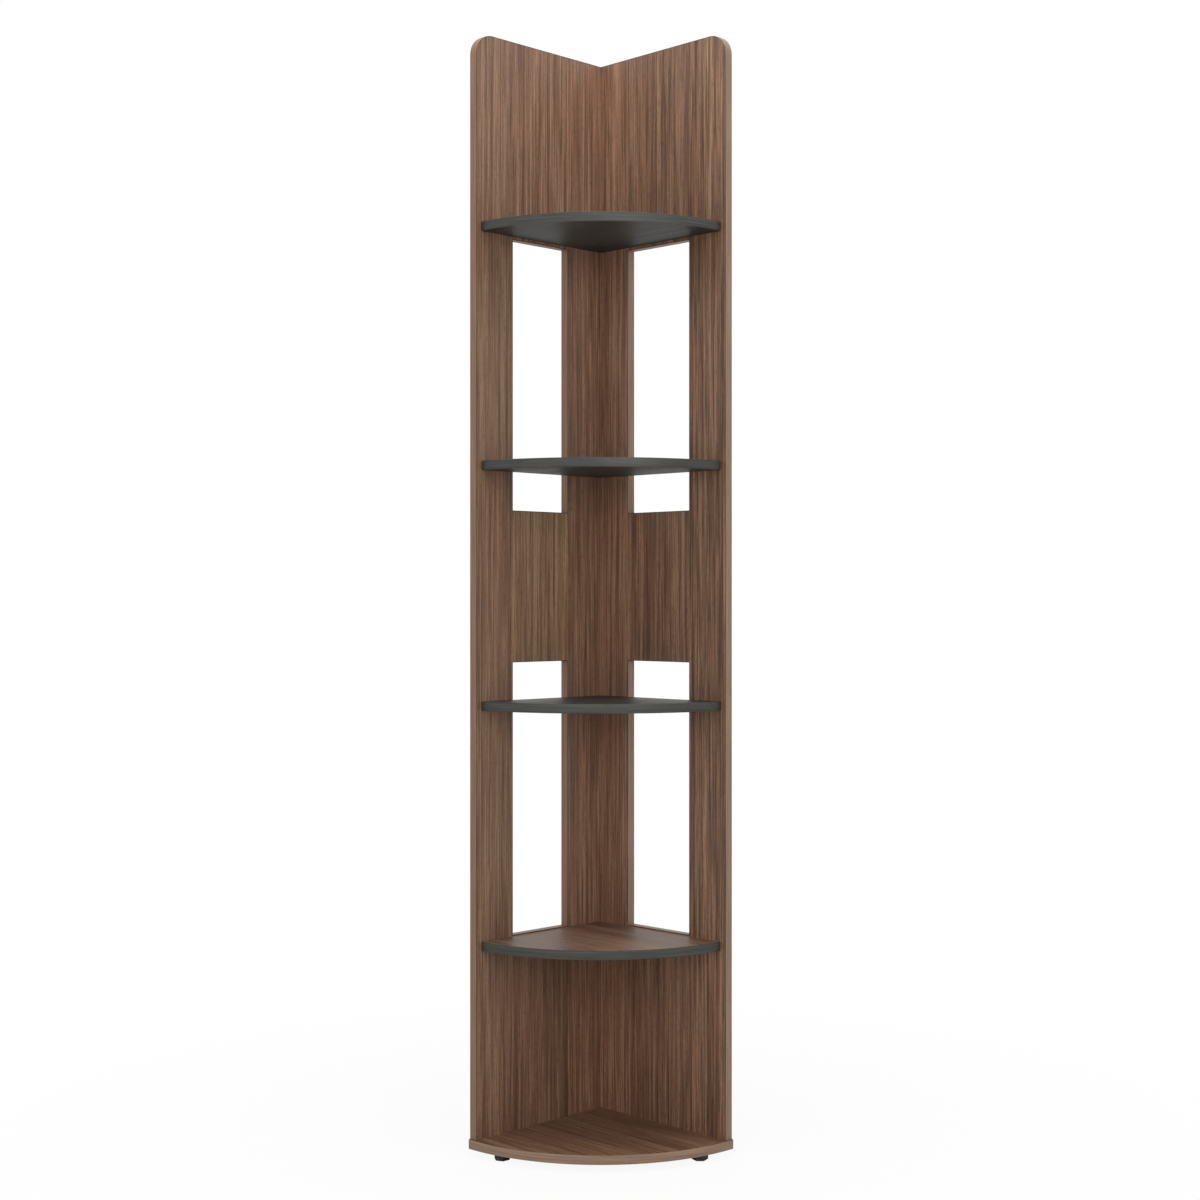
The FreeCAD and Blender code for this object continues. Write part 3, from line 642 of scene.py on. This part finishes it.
def islands(node):
    """The lowest and highest corner of each separate solid of a node."""
    shape = bmesh.new()
    shape.from_mesh(nodes[node].data)
    bmesh.ops.remove_doubles(shape, verts=shape.verts, dist=MERGE)
    waiting = set(shape.verts)
    found = []
    while waiting:
        group = {waiting.pop()}
        border = set(group)
        while border:
            border = {e.other_vert(v) for v in border for e in v.link_edges} & waiting
            waiting -= border
            group |= border
        corners = [v.co for v in group]
        low = Vector([min(c[axis] for c in corners) for axis in range(3)])
        high = Vector([max(c[axis] for c in corners) for axis in range(3)])
        found.append((low, high))
    shape.free()
    return found


def head_and_drive(low, high):
    """The middle of a screw's head and the way it is driven, from the corners of its box.

    A screw along Y goes through the right wall towards -Y. The others go through the left wall
    towards +X, or up through the base board.
    """
    size = high - low
    along = max(range(3), key=lambda axis: size[axis])
    in_right_wall = along == 1
    head = (low + high) / 2
    head[along] = high[along] if in_right_wall else low[along]
    drive = Vector((0.0, 0.0, 0.0))
    drive[along] = -1.0 if in_right_wall else 1.0
    return head, drive


screws = screw_tree()
steel = zinc_steel("zinc_plated_steel")
for node in ("shelf_screws", "corner_screws", "base_screws"):
    boxes = sorted(islands(node), key=lambda box: tuple(box[0]))
    driven = [head_and_drive(low, high) for low, high in boxes]
    mesh = bpy.data.meshes.new(f"{node}_places")
    mesh.from_pydata([head for head, _ in driven], [], [])
    attribute = mesh.attributes.new("drive", "FLOAT_VECTOR", "POINT")
    attribute.data.foreach_set("vector", [part for _, drive in driven for part in drive])
    places = bpy.data.objects.new(f"{node}_places", mesh)
    bpy.context.scene.collection.objects.link(places)
    modifier = places.modifiers.new("screws", "NODES")
    modifier.node_group = screws
    for item in screws.interface.items_tree:
        if item.name == "Steel":
            modifier[item.identifier] = steel
    seen = places.evaluated_get(bpy.context.evaluated_depsgraph_get())
    realised = bpy.data.meshes.new_from_object(seen)
    places.modifiers.clear()
    bpy.data.objects.remove(places)
    piece = bpy.data.objects.new(f"{node}_driven", realised)
    bpy.context.scene.collection.objects.link(piece)
    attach(piece, "root")
    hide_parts(node)

# Studio floor: a pale matt sheet that keeps the unit's own shadow, and fades further out to
# the white of the background, for the camera alone.
FLOOR_HALF = 5.0
FLOOR_PALE = linear("E9E8E5")
WHITE = (1.0, 1.0, 1.0, 1.0)
FADE_REACH = (0.3, 1.3)
FADE_SHARES = (0.92, 1.0)
corners = [(x * FLOOR_HALF, y * FLOOR_HALF, 0) for x, y in ((-1, -1), (1, -1), (1, 1), (-1, 1))]
mesh = bpy.data.meshes.new("floor")
mesh.from_pydata(corners, [], [(0, 1, 2, 3)])
floor = bpy.data.objects.new("floor", mesh)
bpy.context.scene.collection.objects.link(floor)
pale = bpy.data.materials.new("pale_floor")
pale.use_nodes = True
tree = pale.node_tree
tree.nodes.clear()
matt = add(tree, "ShaderNodeBsdfDiffuse", {"Color": FLOOR_PALE})
bright = add(tree, "ShaderNodeEmission", {"Color": WHITE, "Strength": 1.0})
ray = add(tree, "ShaderNodeLightPath").outputs
spot = add(tree, "ShaderNodeTexCoord").outputs["Object"]
reach = add(tree, "ShaderNodeVectorMath", {0: spot}, operation="LENGTH").outputs["Value"]
fade = ranged(tree, reach, FADE_SHARES, FADE_REACH)
faded = add(tree, "ShaderNodeMath", {0: ray["Is Camera Ray"], 1: fade}, operation="MULTIPLY")
blend = add(tree, "ShaderNodeMixShader",
            {0: faded.outputs[0], 1: matt.outputs[0], 2: bright.outputs[0]})
add(tree, "ShaderNodeOutputMaterial", {"Surface": blend.outputs[0]})
floor.data.materials.append(pale)

# Studio background: white where it is seen, also in a reflection or through something clear,
# and dimmer where it only lights the unit.
AMBIENT = 0.62
scene = bpy.context.scene
world = bpy.data.worlds.new("white_studio")
scene.world = world
world.use_nodes = True
tree = world.node_tree
tree.nodes.clear()
ray = add(tree, "ShaderNodeLightPath").outputs
shown = add(tree, "ShaderNodeMath", {0: ray["Is Camera Ray"], 1: ray["Is Glossy Ray"]},
            operation="MAXIMUM")
shown = add(tree, "ShaderNodeMath", {0: shown.outputs[0], 1: ray["Is Transmission Ray"]},
            operation="MAXIMUM")
strength = ranged(tree, shown.outputs[0], (AMBIENT, 1.0))
sky = add(tree, "ShaderNodeBackground", {"Color": WHITE, "Strength": strength})
add(tree, "ShaderNodeOutputWorld", {"Surface": sky.outputs[0]})

# Studio lamps: a large soft one above the camera on its right, a weaker one on its left and a
# smaller one overhead. Each has a place, a point that it looks at, a width and its watts.
LAMPS = {
    "key_light": ((2.6, -1.3, 1.7), (0.0, 0.0, 0.8), 1.8, 30.0),
    "fill_light": ((0.6, -2.8, 1.1), (0.0, 0.0, 0.7), 1.8, 10.0),
    "overhead_light": ((0.25, -0.25, 2.75), (0.25, -0.25, 0.0), 1.0, 22.0),
}
for name, (place, aim, width, watts) in LAMPS.items():
    lamp = bpy.data.lights.new(name, "AREA")
    lamp.size = width
    lamp.energy = watts
    holder = bpy.data.objects.new(name, lamp)
    holder.location = place
    holder.rotation_euler = (Vector(aim) - Vector(place)).to_track_quat("-Z", "Y").to_euler()
    scene.collection.objects.link(holder)

# Camera: level, at about half the unit's height, on the line that halves the corner. Its place,
# measured from the back corner, and its lens were fitted to the photo's edges.
CAMERA_DISTANCE = 3.2579
CAMERA_HEIGHT = 0.9007
CAMERA_SIDE = -0.0016
LEVEL = math.radians(90)
HALFWAY = math.radians(45)
LENS = 56.41
SENSOR = 36.0
unit_corner = Vector((cad_box[0][0], cad_box[1][1], 0.0))
outwards = Vector((1, -1, 0)).normalized()
sideways = Vector((1, 1, 0)).normalized()
upwards = Vector((0, 0, 1))
lens = bpy.data.cameras.new("camera")
lens.lens = LENS
lens.sensor_width = SENSOR
camera = bpy.data.objects.new("camera", lens)
camera.location = (unit_corner + outwards * CAMERA_DISTANCE + sideways * CAMERA_SIDE
                   + upwards * CAMERA_HEIGHT)
camera.rotation_euler = (LEVEL, 0.0, HALFWAY)
scene.collection.objects.link(camera)
scene.camera = camera
scene.view_settings.view_transform = "Standard"
